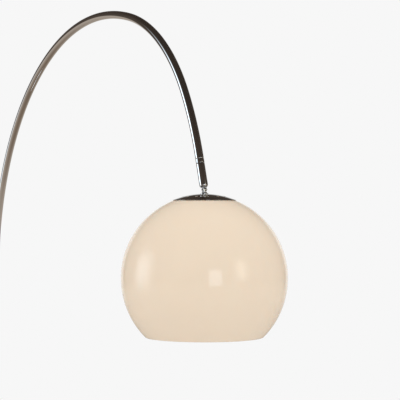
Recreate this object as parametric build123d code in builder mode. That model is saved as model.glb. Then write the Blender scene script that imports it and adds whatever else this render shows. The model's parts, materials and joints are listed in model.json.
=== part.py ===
from build123d import *

import math
import os

# Arc floor lamp: a chromed tube rises from a heavy round base, bows over and carries a cut-off globe
# shade on a swivelling stem and a tilting knuckle. Millimetres, +Z up, the arc lies in the XZ plane.
# The origin is the centre of the base's underside, on the column's axis.

# Driving dimensions
overall_height = 2000.0
tube_radius = 10.0
tube_wall = 1.5
globe_radius = 190.0
globe_wall = 3.0
gap = 0.3                      # between pieces that move past each other
running_fit = 0.05             # radial, a shaft in its bush

# Arc, as one line of tangent bends from the column to the stem
leg_bend_radius = 700.0
crown_bend_radius = 442.0
column_side_turn = 103.0       # degrees
crown_turn = 46.0
shade_side_turn = 14.0

# Base
base_radius = 200.0
felt_thickness = 3.0
felt_radius = 192.0
base_top = 73.0
base_edge_radius = 8.0
base_chamfer = 1.5
recess_radius = 45.0
recess_top = 38.0
stud_radius = 8.0
stud_bottom = 26.0
stud_top = 118.0
stud_clearance = 0.5
clamp_washer_radius = 38.0
clamp_washer_thickness = 4.0
clamp_nut_across_flats = 24.0
groove_width = 8.0
groove_top = 12.0
outlet_length = 16.0
outlet_flange = 3.0
outlet_flange_width = 15.0
outlet_flange_top = 16.0
outlet_corner = 4.0

# Cable
cable_radius = 2.5
cable_way = 3.0                # radius of every passage that the cable runs in
cable_floor = 8.0              # height of its axis under the marble
cable_bend = 16.0
conduit_radius = 4.0           # bore of the stud and the flange

# Column
flange_radius = 55.0
flange_thickness = 7.0
flange_rim = 2.5               # height of the flange's upright edge
flange_bevel = 4.0
flange_edge_radius = 1.5
stud_runout = 2.0              # the flange's thread goes this much past the stud
column_radius = 14.0
column_wall = 2.0
spigot_top = 200.0
bearing_thickness = 1.5
bearing_radius = 18.0
column_top = 900.0
foot_height = 24.0
foot_radius = 18.5
foot_edge_radius = 2.0
retaining_height = 14.0        # of the grub screws above the column's lower end
retaining_groove_depth = 1.6
grub_radius = 2.5
grub_count = 3
grub_sink = 1.0                # below the surface of the foot
grub_groove_room = 1.0         # above and below the screws
grub_slot_depth = 1.5
grub_slot_width = 0.8
cutter_length = 8.0            # of the cylinders that cut the cross holes in the tubes
foot_cutter_length = 15.0
collar_radius = 18.0
collar_height = 30.0
collar_lip = 10.0              # how far the collar rises above the column
collar_top_edge = 2.5
collar_bottom_edge = 1.0
guide_length = 50.0
stop_ring_height = 10.0

# Leg, the straight lower end of the arc
leg_bottom = 600.0
glide_length = 20.0
glide_clearance = 0.1
joint_spigot_lower = 60.0
joint_spigot_upper = 20.0
joint_spigot_upper_fit = 0.35  # leaves room for the start of the bend
joint_screw_drops = (12.0, 42.0)
joint_screw_proud = 0.3
joint_screw_radius = 2.0

# Locking screw
lock_height = 12.0             # below the top of the collar's lip
lock_hole_radius = 4.0
lock_radius = 3.92
spotface_margin = 2.5          # around the lock hole, on the collar
spotface_depth = 1.0
pad_thickness = 3.0
pad_gap = 0.1                  # between the pad and the screw's tip
knob_radius = 13.0
knob_length = 14.0
knob_boss = 2.0
knob_boss_radius = 7.8
knob_crown_radius = 9.75
knob_crown = 1.2
knob_crown_taper = 30.0
knob_flutes = 20
knob_flute_radius = 1.3

# Swivel between the arc and the stem, measured along the stem from the end of the arc
band_start = 1.5
band_end = 11.4
edge_break = 0.6
groove_radius = 8.5
stem_start = 13.0
stem_end = 69.0
stem_dome = 5.5
end_plug_length = 12.0
end_plug_fit = 0.15
spindle_radius = 5.0
spindle_end = 37.0
spindle_tail = 14.0
swivel_bush_length = 15.0
swivel_bush_setback = 1.0
swivel_nut_thickness = 5.0
swivel_nut_across_flats = 14.0
shank_radius = 4.6
shank_head_start = 57.0
shank_head_length = 4.0
shank_floor = 2.0              # solid end of the shank, towards the knuckle
cable_end = 52.0

# Knuckle
knuckle_drop = 5.2             # pivot below the stem's lower end
knuckle_radius = 4.5
knuckle_outer = 3.75           # half the thickness of the closed joint
knuckle_inner = 0.4
friction_washer_radius = 4.0
pivot_radius = 1.5
pivot_head_radius = 3.4
pivot_head_height = 2.2
pivot_head_edge = 0.8
pivot_socket_across_flats = 2.5
pivot_socket_floor = 1.0
pivot_nut_thickness = 2.4
pivot_nut_across_flats = 5.5
pivot_nut_crown = 1.0
pivot_nut_taper = 20.0
neck_foot_radius = 9.5
neck_foot_lip = 0.8
neck_foot_height = 4.2
neck_waist_radius = 5.2
knuckle_root = 2.0             # the lower half starts this far above the cap
pivot_height = 9.2             # above the top of the cap

# Shade, heights measured from the centre of the globe
mouth_drop = 134.3
mouth_edge_radius = 1.0
top_opening_radius = 62.0
cap_clearance = 0.8
cap_thickness = 0.8
cap_rim_radius = 73.0
cap_hole_fit = 0.1
vent_count = 12
vent_radius = 3.2
vent_ring_radius = 49.0
vent_start_angle = 8.0
gallery_radius = 69.0
gallery_top = 172.6
gallery_thickness = 2.0
gallery_ring_width = 11.0
gallery_hub_radius = 16.0
gallery_arm_width = 12.0
gallery_arms = 3
gasket_outer = 68.0
gasket_outer_top = 174.1
gasket_inner_top = 176.1
nipple_radius = 4.0
nipple_top_depth = 3.4
nipple_bottom = 152.0
nut_thickness = 4.0
nut_across_flats = 13.0
nut_washer_radius = 10.0
nut_washer_thickness = 1.2

# Lampholder and bulb
holder_top = 164.0
holder_neck_radius = 7.0
holder_neck_bottom = 158.0
holder_shoulder = 147.0
holder_radius = 19.5
holder_split = 137.0
holder_bottom = 98.0
holder_wall = 2.2
holder_roof = 1.0
holder_edge_radius = 1.0
core_radius = 15.5
core_top = 143.0
core_bottom = 129.5
core_hole_radius = 2.0
core_hole_ring = 9.3
contact_thickness = 1.2
contact_radius = 4.0
screw_cap_radius = 13.2
screw_cap_top = 127.5
screw_cap_bottom = 101.0
screw_cap_cone = 4.0
screw_cap_taper = 35.0
bulb_neck_radius = 11.5
bulb_radius = 30.0
bulb_centre = 53.0
bulb_shoulder_angle = 32.0
bulb_neck_length = 2.0
bulb_wall = 0.8

# Derived sizes
tube_bore = tube_radius - tube_wall
column_bore = column_radius - column_wall
leg_top = overall_height - tube_radius - leg_bend_radius
column_bottom = base_top + flange_thickness + bearing_thickness + gap
retaining_z = column_bottom + retaining_height
collar_top = column_top + collar_lip
cap_outer = globe_radius + cap_clearance + cap_thickness
cap_inner = globe_radius + cap_clearance
lock_z = collar_top - lock_height - collar_lip
knob_start = collar_radius + 6.0

os.makedirs("parts", exist_ok=True)


def write(piece, name):
    """Labels a finished part and writes it as its own STEP file."""
    piece.part.label = name
    export_step(piece.part, f"parts/{name}.step")


# Base: felt, marble, and the hollow stud that clamps the flange

with BuildPart() as felt_pad:
    with BuildSketch():
        Circle(felt_radius)
    extrude(amount=felt_thickness)
write(felt_pad, "felt_pad")

with BuildPart() as marble_base:
    with BuildSketch(Plane.XY.offset(felt_thickness)):
        Circle(base_radius)
    extrude(amount=base_top - felt_thickness)
    fillet(marble_base.edges().sort_by(Axis.Z)[-1], radius=base_edge_radius)
    chamfer(marble_base.edges().sort_by(Axis.Z)[0], length=base_chamfer)
    with BuildSketch(Plane.XY.offset(felt_thickness)):
        Circle(recess_radius)
    extrude(amount=recess_top - felt_thickness, mode=Mode.SUBTRACT)
    with BuildSketch(Plane.XY.offset(felt_thickness)):
        Circle(stud_radius + stud_clearance)
    extrude(amount=base_top - felt_thickness, mode=Mode.SUBTRACT)
    with BuildSketch(Plane.XY.offset(felt_thickness)):
        with Locations((-base_radius / 2, 0)):
            Rectangle(base_radius, groove_width)
    extrude(amount=groove_top - felt_thickness, mode=Mode.SUBTRACT)
write(marble_base, "marble_base")

with BuildPart() as foot_flange:
    with BuildSketch(Plane.XZ):
        with BuildLine():
            Polyline(
                (0, base_top), (flange_radius, base_top), (flange_radius, base_top + flange_rim),
                (flange_radius - flange_bevel, base_top + flange_thickness),
                (column_bore - running_fit, base_top + flange_thickness),
                (column_bore - running_fit, spigot_top), (0, spigot_top), (0, base_top),
            )
        make_face()
    revolve(axis=Axis.Z)
    flange_circles = foot_flange.edges().filter_by(GeomType.CIRCLE).group_by(SortBy.RADIUS)
    fillet(flange_circles[-2], radius=flange_edge_radius)
    with BuildSketch(Plane.XY.offset(base_top)):
        Circle(stud_radius)
    extrude(amount=stud_top - base_top + stud_runout, mode=Mode.SUBTRACT)
    with BuildSketch(Plane.XY.offset(base_top)):
        Circle(conduit_radius)
    extrude(amount=spigot_top - base_top, mode=Mode.SUBTRACT)
    with BuildSketch(Plane.XY.offset(retaining_z - grub_radius - grub_groove_room)):
        Circle(column_bore)
        Circle(column_bore - retaining_groove_depth, mode=Mode.SUBTRACT)
    extrude(amount=2 * (grub_radius + grub_groove_room), mode=Mode.SUBTRACT)
write(foot_flange, "foot_flange")

with BuildPart() as hollow_stud:
    with BuildSketch(Plane.XY.offset(stud_bottom)):
        Circle(stud_radius)
        Circle(conduit_radius, mode=Mode.SUBTRACT)
    extrude(amount=stud_top - stud_bottom)
write(hollow_stud, "hollow_stud")

with BuildPart() as clamp_washer:
    with BuildSketch(Plane.XY.offset(recess_top - clamp_washer_thickness)):
        Circle(clamp_washer_radius)
        Circle(stud_radius, mode=Mode.SUBTRACT)
    extrude(amount=clamp_washer_thickness)
write(clamp_washer, "clamp_washer")

with BuildPart() as clamp_nut:
    with BuildSketch(Plane.XY.offset(stud_bottom)):
        RegularPolygon(radius=clamp_nut_across_flats / 2, side_count=6, major_radius=False)
        Circle(stud_radius, mode=Mode.SUBTRACT)
    extrude(amount=recess_top - clamp_washer_thickness - stud_bottom)
write(clamp_nut, "clamp_nut")

with BuildPart() as cable_outlet:
    with BuildSketch(Plane.YZ.offset(-base_radius)):
        with Locations((0, (felt_thickness + groove_top) / 2)):
            Rectangle(groove_width, groove_top - felt_thickness)
    extrude(amount=outlet_length)
    with BuildSketch(Plane.YZ.offset(-base_radius)):
        with Locations((0, (felt_thickness + outlet_flange_top) / 2)):
            RectangleRounded(outlet_flange_width, outlet_flange_top - felt_thickness, outlet_corner)
    extrude(amount=-outlet_flange)
    with BuildSketch(Plane.YZ.offset(-base_radius - outlet_flange)):
        with Locations((0, cable_floor)):
            Circle(cable_way)
    extrude(amount=outlet_length + outlet_flange, mode=Mode.SUBTRACT)
write(cable_outlet, "cable_outlet")

with BuildPart() as base_cable:
    with BuildLine(Plane.XZ):
        groove_run = Line((outlet_length - base_radius, cable_floor), (-cable_bend, cable_floor))
        rise = RadiusArc(groove_run @ 1, (0, cable_floor + cable_bend), -cable_bend)
        Line(rise @ 1, (0, leg_bottom - gap))
    with BuildSketch(Plane.YZ.offset(outlet_length - base_radius)):
        with Locations((0, cable_floor)):
            Circle(cable_radius)
    sweep()
write(base_cable, "base_cable")

with BuildPart() as bearing_washer:
    with BuildSketch(Plane.XY.offset(base_top + flange_thickness)):
        Circle(bearing_radius)
        Circle(column_bore, mode=Mode.SUBTRACT)
    extrude(amount=bearing_thickness)
write(bearing_washer, "bearing_washer")

# Column: turns on the flange's spigot and carries the leg

with BuildPart() as column_tube:
    with BuildSketch(Plane.XY.offset(column_bottom)):
        Circle(column_radius)
        Circle(column_bore, mode=Mode.SUBTRACT)
    extrude(amount=column_top - column_bottom)
    with Locations((0, 0, retaining_z)):
        with PolarLocations(column_bore, grub_count):
            Cylinder(grub_radius, cutter_length, rotation=(0, 90, 0), mode=Mode.SUBTRACT)
    with Locations((-column_radius, 0, lock_z)):
        Cylinder(lock_hole_radius, cutter_length, rotation=(0, 90, 0), mode=Mode.SUBTRACT)
write(column_tube, "column_tube")

with BuildPart() as column_foot:
    with BuildSketch(Plane.XY.offset(column_bottom)):
        Circle(foot_radius)
        Circle(column_radius, mode=Mode.SUBTRACT)
    extrude(amount=foot_height)
    fillet(column_foot.edges().group_by(Axis.Z)[-1].sort_by(SortBy.RADIUS)[-1], radius=foot_edge_radius)
    with Locations((0, 0, retaining_z)):
        with PolarLocations(foot_radius, grub_count):
            Cylinder(grub_radius, foot_cutter_length, rotation=(0, 90, 0), mode=Mode.SUBTRACT)
write(column_foot, "column_foot")

grub_start = column_bore - retaining_groove_depth + gap
grub_length = foot_radius - grub_sink - grub_start
with BuildPart() as retaining_screws:
    with Locations((0, 0, retaining_z)):
        with PolarLocations(grub_start + grub_length / 2, grub_count):
            Cylinder(grub_radius, grub_length, rotation=(0, 90, 0))
    with Locations((0, 0, retaining_z)):
        with PolarLocations(grub_start + grub_length, grub_count):
            Box(2 * grub_slot_depth, grub_slot_width, 2 * grub_radius, mode=Mode.SUBTRACT)
write(retaining_screws, "retaining_screws")

with BuildPart() as stop_ring:
    with BuildSketch(Plane.XY.offset(leg_bottom - gap - stop_ring_height)):
        Circle(column_bore)
        Circle(tube_bore, mode=Mode.SUBTRACT)
    extrude(amount=stop_ring_height)
write(stop_ring, "stop_ring")

with BuildPart() as guide_bush:
    with BuildSketch(Plane.XY.offset(column_top - guide_length)):
        Circle(column_bore)
        Circle(tube_radius + running_fit, mode=Mode.SUBTRACT)
    extrude(amount=guide_length)
    with Locations((-column_bore, 0, lock_z)):
        Cylinder(lock_hole_radius, cutter_length, rotation=(0, 90, 0), mode=Mode.SUBTRACT)
write(guide_bush, "guide_bush")

with BuildPart() as clamp_collar:
    with BuildSketch(Plane.XY.offset(collar_top - collar_height)):
        Circle(collar_radius)
    extrude(amount=collar_height)
    fillet(clamp_collar.edges().group_by(Axis.Z)[-1], radius=collar_top_edge)
    fillet(clamp_collar.edges().group_by(Axis.Z)[0], radius=collar_bottom_edge)
    with BuildSketch(Plane.XY.offset(collar_top - collar_height)):
        Circle(column_radius)
    extrude(amount=collar_height - collar_lip, mode=Mode.SUBTRACT)
    with BuildSketch(Plane.XY.offset(collar_top - collar_height)):
        Circle(tube_radius + gap)
    extrude(amount=collar_height, mode=Mode.SUBTRACT)
    with Locations((-collar_radius, 0, lock_z)):
        Cylinder(lock_hole_radius, foot_cutter_length, rotation=(0, 90, 0), mode=Mode.SUBTRACT)
        Cylinder(
            lock_hole_radius + spotface_margin, 2 * spotface_depth,
            rotation=(0, 90, 0), mode=Mode.SUBTRACT,
        )
write(clamp_collar, "clamp_collar")

# Locking screw: the pad is carried on the screw's tip and bears on the leg

with BuildPart() as lock_pad:
    with BuildSketch(Plane.YZ.offset(-tube_radius - gap)):
        with Locations((0, lock_z)):
            Circle(lock_radius)
    extrude(amount=-pad_thickness)
write(lock_pad, "lock_pad")

pad_back = -tube_radius - gap - pad_thickness
with BuildPart() as thumb_screw:
    with BuildSketch(Plane.YZ.offset(pad_back - pad_gap)):
        with Locations((0, lock_z)):
            Circle(lock_radius)
    extrude(amount=-(knob_start + pad_back - pad_gap - knob_boss))
write(thumb_screw, "thumb_screw")

with BuildPart() as thumb_knob:
    with BuildSketch(Plane.YZ.offset(-knob_start)):
        with Locations((0, lock_z)):
            Circle(knob_radius)
            with PolarLocations(knob_radius + knob_flute_radius / 2, knob_flutes):
                Circle(knob_flute_radius, mode=Mode.SUBTRACT)
    extrude(amount=-knob_length)
    with BuildSketch(Plane.YZ.offset(-knob_start)):
        with Locations((0, lock_z)):
            Circle(knob_boss_radius)
    extrude(amount=knob_boss)
    with BuildSketch(Plane.YZ.offset(-knob_start - knob_length)):
        with Locations((0, lock_z)):
            Circle(knob_crown_radius)
    extrude(amount=-knob_crown, taper=knob_crown_taper)
write(thumb_knob, "thumb_knob")

# Arc: a straight leg, the bent tube, and the cable inside

with BuildPart() as leg_tube:
    with BuildSketch(Plane.XY.offset(leg_bottom)):
        Circle(tube_radius)
        Circle(tube_bore, mode=Mode.SUBTRACT)
    extrude(amount=leg_top - leg_bottom)
    for drop in joint_screw_drops:
        with Locations((-tube_radius, 0, leg_top - drop)):
            Cylinder(joint_screw_radius, cutter_length, rotation=(0, 90, 0), mode=Mode.SUBTRACT)
write(leg_tube, "leg_tube")

with BuildPart() as leg_glide:
    with BuildSketch(Plane.XY.offset(leg_bottom)):
        Circle(column_bore - glide_clearance)
        Circle(tube_radius, mode=Mode.SUBTRACT)
    extrude(amount=glide_length)
write(leg_glide, "leg_glide")

with BuildPart() as joint_spigot:
    with BuildSketch(Plane.XY.offset(leg_top - joint_spigot_lower)):
        Circle(tube_bore)
    extrude(amount=joint_spigot_lower)
    with BuildSketch(Plane.XY.offset(leg_top)):
        Circle(tube_bore - joint_spigot_upper_fit)
    extrude(amount=joint_spigot_upper)
    with BuildSketch(Plane.XY.offset(leg_top - joint_spigot_lower)):
        Circle(tube_bore - tube_wall)
    extrude(amount=joint_spigot_lower + joint_spigot_upper, mode=Mode.SUBTRACT)
write(joint_spigot, "joint_spigot")

joint_screw_length = tube_wall + joint_screw_proud
with BuildPart() as joint_screws:
    for drop in joint_screw_drops:
        with Locations((joint_screw_length / 2 - tube_radius - joint_screw_proud, 0, leg_top - drop)):
            Cylinder(joint_screw_radius, joint_screw_length, rotation=(0, 90, 0))
write(joint_screws, "joint_screws")

with BuildPart() as arc_tube:
    with BuildLine(Plane.XZ) as arc_line:
        column_side = JernArc((0, leg_top), (0, 1), leg_bend_radius, -column_side_turn)
        crown = JernArc(column_side @ 1, column_side % 1, crown_bend_radius, -crown_turn)
        JernArc(crown @ 1, crown % 1, leg_bend_radius, -shade_side_turn)
    with BuildSketch(Plane.XY.offset(leg_top)):
        Circle(tube_radius)
        Circle(tube_bore, mode=Mode.SUBTRACT)
    sweep()
write(arc_tube, "arc_tube")

arc_end = arc_line.line @ 1
down = arc_line.line % 1
stem_frame = Plane(origin=arc_end, x_dir=(0, 1, 0), z_dir=down)
stem_profile = Plane(origin=arc_end, x_dir=(0, 1, 0), z_dir=Vector(0, 1, 0).cross(down))
stem_axis = Axis(arc_end, down)

with BuildPart() as end_plug:
    with BuildSketch(stem_frame.offset(-end_plug_length)):
        Circle(tube_bore - end_plug_fit)
    extrude(amount=end_plug_length)
    with BuildSketch(stem_frame):
        Circle(groove_radius)
    extrude(amount=band_start)
    with BuildSketch(stem_frame.offset(-end_plug_length)):
        Circle(spindle_radius)
    extrude(amount=end_plug_length + band_start, mode=Mode.SUBTRACT)
write(end_plug, "end_plug")

with BuildPart() as spindle:
    with BuildSketch(stem_frame.offset(-spindle_tail)):
        Circle(spindle_radius)
        Circle(cable_way, mode=Mode.SUBTRACT)
    extrude(amount=spindle_tail + spindle_end)
write(spindle, "spindle")

with BuildPart() as swivel_band:
    with BuildSketch(stem_frame.offset(band_start)):
        Circle(tube_radius)
    extrude(amount=band_end - band_start)
    fillet(swivel_band.edges().filter_by(GeomType.CIRCLE), radius=edge_break)
    with BuildSketch(stem_frame.offset(band_start)):
        Circle(spindle_radius)
    extrude(amount=band_end - band_start, mode=Mode.SUBTRACT)
write(swivel_band, "swivel_band")

with BuildPart() as swivel_washer:
    with BuildSketch(stem_frame.offset(band_end)):
        Circle(groove_radius)
        Circle(spindle_radius, mode=Mode.SUBTRACT)
    extrude(amount=stem_start - gap - band_end)
write(swivel_washer, "swivel_washer")

swivel_bush_end = stem_start + swivel_bush_length
with BuildPart() as swivel_nut:
    with BuildSketch(stem_frame.offset(swivel_bush_end + gap)):
        RegularPolygon(radius=swivel_nut_across_flats / 2, side_count=6, major_radius=False)
        Circle(spindle_radius, mode=Mode.SUBTRACT)
    extrude(amount=swivel_nut_thickness)
write(swivel_nut, "swivel_nut")

with BuildPart() as arc_cable:
    with BuildLine(Plane.XZ):
        leg_run = Line((0, leg_bottom), (0, leg_top))
        first_bend = JernArc(leg_run @ 1, leg_run % 1, leg_bend_radius, -column_side_turn)
        second_bend = JernArc(first_bend @ 1, first_bend % 1, crown_bend_radius, -crown_turn)
        third_bend = JernArc(second_bend @ 1, second_bend % 1, leg_bend_radius, -shade_side_turn)
        Line(third_bend @ 1, third_bend @ 1 + third_bend % 1 * cable_end)
    with BuildSketch(Plane.XY.offset(leg_bottom)):
        Circle(cable_radius)
    sweep()
write(arc_cable, "arc_cable")

# Stem: a sleeve that turns on the spindle and ends in the upper half of the knuckle

with BuildPart() as stem_sleeve:
    with BuildSketch(stem_frame.offset(stem_start)):
        Circle(tube_radius)
    extrude(amount=stem_end - stem_start)
    fillet(stem_sleeve.edges().group_by(stem_axis)[-1], radius=stem_dome)
    fillet(stem_sleeve.edges().group_by(stem_axis)[0], radius=edge_break)
    with BuildSketch(stem_frame.offset(stem_start)):
        Circle(tube_bore)
    extrude(amount=shank_head_start + shank_head_length - stem_start, mode=Mode.SUBTRACT)
    with BuildSketch(stem_frame.offset(stem_start)):
        Circle(shank_radius)
    extrude(amount=stem_end - stem_start, mode=Mode.SUBTRACT)
write(stem_sleeve, "stem_sleeve")

with BuildPart() as swivel_bush:
    with BuildSketch(stem_frame.offset(stem_start + swivel_bush_setback)):
        Circle(tube_bore)
        Circle(spindle_radius + running_fit, mode=Mode.SUBTRACT)
    extrude(amount=swivel_bush_length - swivel_bush_setback)
write(swivel_bush, "swivel_bush")

pivot = arc_end + down * (stem_end + knuckle_drop)
pivot_plane = Plane(origin=pivot, x_dir=-down, z_dir=(0, 1, 0))
pivot_front = Plane(origin=pivot, x_dir=(0, 0, 1), z_dir=(0, -1, 0))
pivot_rear = Plane(origin=pivot, x_dir=(0, 0, 1), z_dir=(0, 1, 0))

with BuildPart() as knuckle_upper:
    with BuildSketch(stem_frame.offset(shank_head_start)):
        Circle(tube_bore - running_fit)
    extrude(amount=shank_head_length)
    with BuildSketch(stem_frame.offset(shank_head_start)):
        Circle(shank_radius - running_fit)
    extrude(amount=stem_end - shank_head_start)
    with BuildSketch(pivot_plane.offset(knuckle_inner)):
        Circle(knuckle_radius)
        with Locations((knuckle_drop / 2, 0)):
            Rectangle(knuckle_drop, 2 * knuckle_radius)
    extrude(amount=knuckle_outer - knuckle_inner)
    with BuildSketch(stem_frame.offset(shank_head_start)):
        Circle(cable_way)
    extrude(amount=stem_end - shank_floor - shank_head_start, mode=Mode.SUBTRACT)
    with BuildSketch(pivot_plane):
        Circle(pivot_radius + running_fit)
    extrude(amount=2 * knuckle_outer, mode=Mode.SUBTRACT)
write(knuckle_upper, "knuckle_upper")

# Head: the lower half of the knuckle, the vented cap, the shade, the lampholder and the bulb

centre = Vector(pivot.X, 0, pivot.Z - pivot_height - cap_outer)
head_profile = Plane(origin=centre, x_dir=(1, 0, 0), z_dir=(0, -1, 0))
head_frame = Plane(origin=centre, x_dir=(1, 0, 0), z_dir=(0, 0, 1))
head_axis = Axis(centre, (0, 0, 1))

with BuildPart() as knuckle_lower:
    with BuildSketch(head_profile):
        with BuildLine():
            lip_bottom = Line((0, cap_outer), (neck_foot_radius, cap_outer))
            lip = Line(lip_bottom @ 1, (neck_foot_radius, cap_outer + neck_foot_lip))
            flare = TangentArc(
                (neck_waist_radius, cap_outer + neck_foot_height), lip @ 1, tangent=(0, -1)
            )
            waist = Line(flare @ 0, (0, cap_outer + neck_foot_height))
            Line(waist @ 1, lip_bottom @ 0)
        make_face()
    revolve(axis=head_axis)
    with BuildSketch(pivot_front.offset(knuckle_inner)):
        Circle(knuckle_radius)
        with Locations(((knuckle_root - pivot_height) / 2, 0)):
            Rectangle(pivot_height - knuckle_root, 2 * knuckle_radius)
    extrude(amount=knuckle_outer - knuckle_inner)
    with BuildSketch(pivot_front):
        Circle(pivot_radius)
    extrude(amount=2 * knuckle_outer, mode=Mode.SUBTRACT)
    with BuildSketch(head_frame.offset(cap_outer)):
        Circle(nipple_radius)
    extrude(amount=nipple_top_depth, mode=Mode.SUBTRACT)
write(knuckle_lower, "knuckle_lower")

with BuildPart() as friction_washer:
    with BuildSketch(pivot_rear.offset(-knuckle_inner)):
        Circle(friction_washer_radius)
        Circle(pivot_radius, mode=Mode.SUBTRACT)
    extrude(amount=2 * knuckle_inner - gap)
write(friction_washer, "friction_washer")

nut_face = knuckle_outer + gap
with BuildPart() as pivot_screw:
    with BuildSketch(pivot_rear.offset(-knuckle_outer)):
        Circle(pivot_radius)
    extrude(amount=knuckle_outer + nut_face + pivot_nut_thickness - pivot_nut_crown)
    with BuildSketch(pivot_front.offset(knuckle_outer)):
        Circle(pivot_head_radius)
    extrude(amount=pivot_head_height)
    fillet(pivot_screw.edges().group_by(Axis.Y)[0], radius=pivot_head_edge)
    with BuildSketch(pivot_front.offset(knuckle_outer + pivot_socket_floor)):
        RegularPolygon(radius=pivot_socket_across_flats / 2, side_count=6, major_radius=False)
    extrude(amount=pivot_head_height, mode=Mode.SUBTRACT)
write(pivot_screw, "pivot_screw")

with BuildPart() as pivot_nut:
    with BuildSketch(pivot_rear.offset(nut_face)):
        RegularPolygon(radius=pivot_nut_across_flats / 2, side_count=6, major_radius=False)
        Circle(pivot_radius, mode=Mode.SUBTRACT)
    extrude(amount=pivot_nut_thickness - pivot_nut_crown)
    with BuildSketch(pivot_rear.offset(nut_face + pivot_nut_thickness - pivot_nut_crown)):
        RegularPolygon(radius=pivot_nut_across_flats / 2, side_count=6, major_radius=False)
    extrude(amount=pivot_nut_crown, taper=pivot_nut_taper)
write(pivot_nut, "pivot_nut")


def polar(radius, height_angle):
    """Point of a circle about the globe's centre, height_angle in degrees up from the equator."""
    return (radius * math.cos(math.radians(height_angle)), radius * math.sin(math.radians(height_angle)))


cap_rim_angle = math.degrees(math.acos(cap_rim_radius / cap_outer))
cap_hole_angle = math.degrees(math.acos((nipple_radius + cap_hole_fit) / cap_outer))
with BuildPart() as shade_cap:
    with BuildSketch(head_profile):
        with BuildLine():
            CenterArc((0, 0), cap_outer, cap_rim_angle, cap_hole_angle - cap_rim_angle)
            Line(polar(cap_outer, cap_hole_angle), polar(cap_inner, cap_hole_angle))
            CenterArc((0, 0), cap_inner, cap_rim_angle, cap_hole_angle - cap_rim_angle)
            Line(polar(cap_inner, cap_rim_angle), polar(cap_outer, cap_rim_angle))
        make_face()
    revolve(axis=head_axis)
    with BuildSketch(head_frame):
        with PolarLocations(vent_ring_radius, vent_count, start_angle=vent_start_angle):
            Circle(vent_radius)
    extrude(amount=cap_outer + cap_thickness, mode=Mode.SUBTRACT)
write(shade_cap, "shade_cap")

globe_inner = globe_radius - globe_wall
mouth_angle = -math.degrees(math.asin(mouth_drop / globe_radius))
mouth_inner_angle = -math.degrees(math.asin(mouth_drop / globe_inner))
opening_angle = math.degrees(math.acos(top_opening_radius / globe_radius))
opening_inner_angle = math.degrees(math.acos(top_opening_radius / globe_inner))
with BuildPart() as globe_shade:
    with BuildSketch(head_profile):
        with BuildLine():
            CenterArc((0, 0), globe_radius, mouth_angle, opening_angle - mouth_angle)
            Line(polar(globe_radius, opening_angle), polar(globe_inner, opening_inner_angle))
            CenterArc((0, 0), globe_inner, mouth_inner_angle, opening_inner_angle - mouth_inner_angle)
            Line(polar(globe_inner, mouth_inner_angle), polar(globe_radius, mouth_angle))
        make_face()
    revolve(axis=head_axis)
    fillet(globe_shade.edges().group_by(Axis.Z)[0], radius=mouth_edge_radius)
write(globe_shade, "globe_shade")

with BuildPart() as shade_gasket:
    with BuildSketch(head_profile):
        with BuildLine():
            Polyline(
                (top_opening_radius, gallery_top), (gasket_outer, gallery_top),
                (gasket_outer, gasket_outer_top), (top_opening_radius, gasket_inner_top),
                (top_opening_radius, gallery_top),
            )
        make_face()
    revolve(axis=head_axis)
write(shade_gasket, "shade_gasket")

gallery_arm_length = gallery_radius - gallery_ring_width / 2
gallery_washer_bottom = gallery_top - gallery_thickness - nut_washer_thickness
with BuildPart() as gallery:
    with BuildSketch(head_frame.offset(gallery_top - gallery_thickness)):
        Circle(gallery_radius)
        Circle(gallery_radius - gallery_ring_width, mode=Mode.SUBTRACT)
        Circle(gallery_hub_radius)
        with PolarLocations(gallery_arm_length / 2, gallery_arms):
            Rectangle(gallery_arm_length, gallery_arm_width)
        Circle(nipple_radius, mode=Mode.SUBTRACT)
    extrude(amount=gallery_thickness)
write(gallery, "gallery")

with BuildPart() as nipple:
    with BuildSketch(head_frame.offset(nipple_bottom)):
        Circle(nipple_radius)
        Circle(cable_way, mode=Mode.SUBTRACT)
    extrude(amount=cap_outer + nipple_top_depth - nipple_bottom)
write(nipple, "nipple")

with BuildPart() as gallery_washer:
    with BuildSketch(head_frame.offset(gallery_washer_bottom)):
        Circle(nut_washer_radius)
        Circle(nipple_radius, mode=Mode.SUBTRACT)
    extrude(amount=nut_washer_thickness)
write(gallery_washer, "gallery_washer")

with BuildPart() as gallery_nut:
    with BuildSketch(head_frame.offset(gallery_washer_bottom - nut_thickness)):
        RegularPolygon(radius=nut_across_flats / 2, side_count=6, major_radius=False)
        Circle(nipple_radius, mode=Mode.SUBTRACT)
    extrude(amount=nut_thickness)
write(gallery_nut, "gallery_nut")

with BuildPart() as holder_cap:
    with BuildSketch(head_profile):
        with BuildLine():
            Polyline(
                (nipple_radius, holder_top), (holder_neck_radius, holder_top),
                (holder_neck_radius, holder_neck_bottom), (holder_radius, holder_shoulder),
                (holder_radius, holder_split), (holder_radius - holder_wall, holder_split),
                (holder_radius - holder_wall, holder_shoulder - holder_roof),
                (holder_neck_radius, nipple_bottom), (nipple_radius, nipple_bottom),
                (nipple_radius, holder_top),
            )
        make_face()
    revolve(axis=head_axis)
write(holder_cap, "holder_cap")

with BuildPart() as holder_skirt:
    with BuildSketch(head_frame.offset(holder_bottom)):
        Circle(holder_radius)
    extrude(amount=holder_split - holder_bottom)
    fillet(holder_skirt.edges().group_by(Axis.Z)[0], radius=holder_edge_radius)
    with BuildSketch(head_frame.offset(holder_bottom)):
        Circle(holder_radius - holder_wall)
    extrude(amount=holder_split - holder_bottom, mode=Mode.SUBTRACT)
write(holder_skirt, "holder_skirt")

with BuildPart() as holder_core:
    with BuildSketch(head_frame.offset(core_bottom)):
        Circle(core_radius)
    extrude(amount=core_top - core_bottom)
    with BuildSketch(head_frame.offset(core_bottom)):
        with PolarLocations(core_hole_ring, 2):
            Circle(core_hole_radius)
    extrude(amount=core_top - core_bottom, mode=Mode.SUBTRACT)
write(holder_core, "holder_core")

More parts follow.
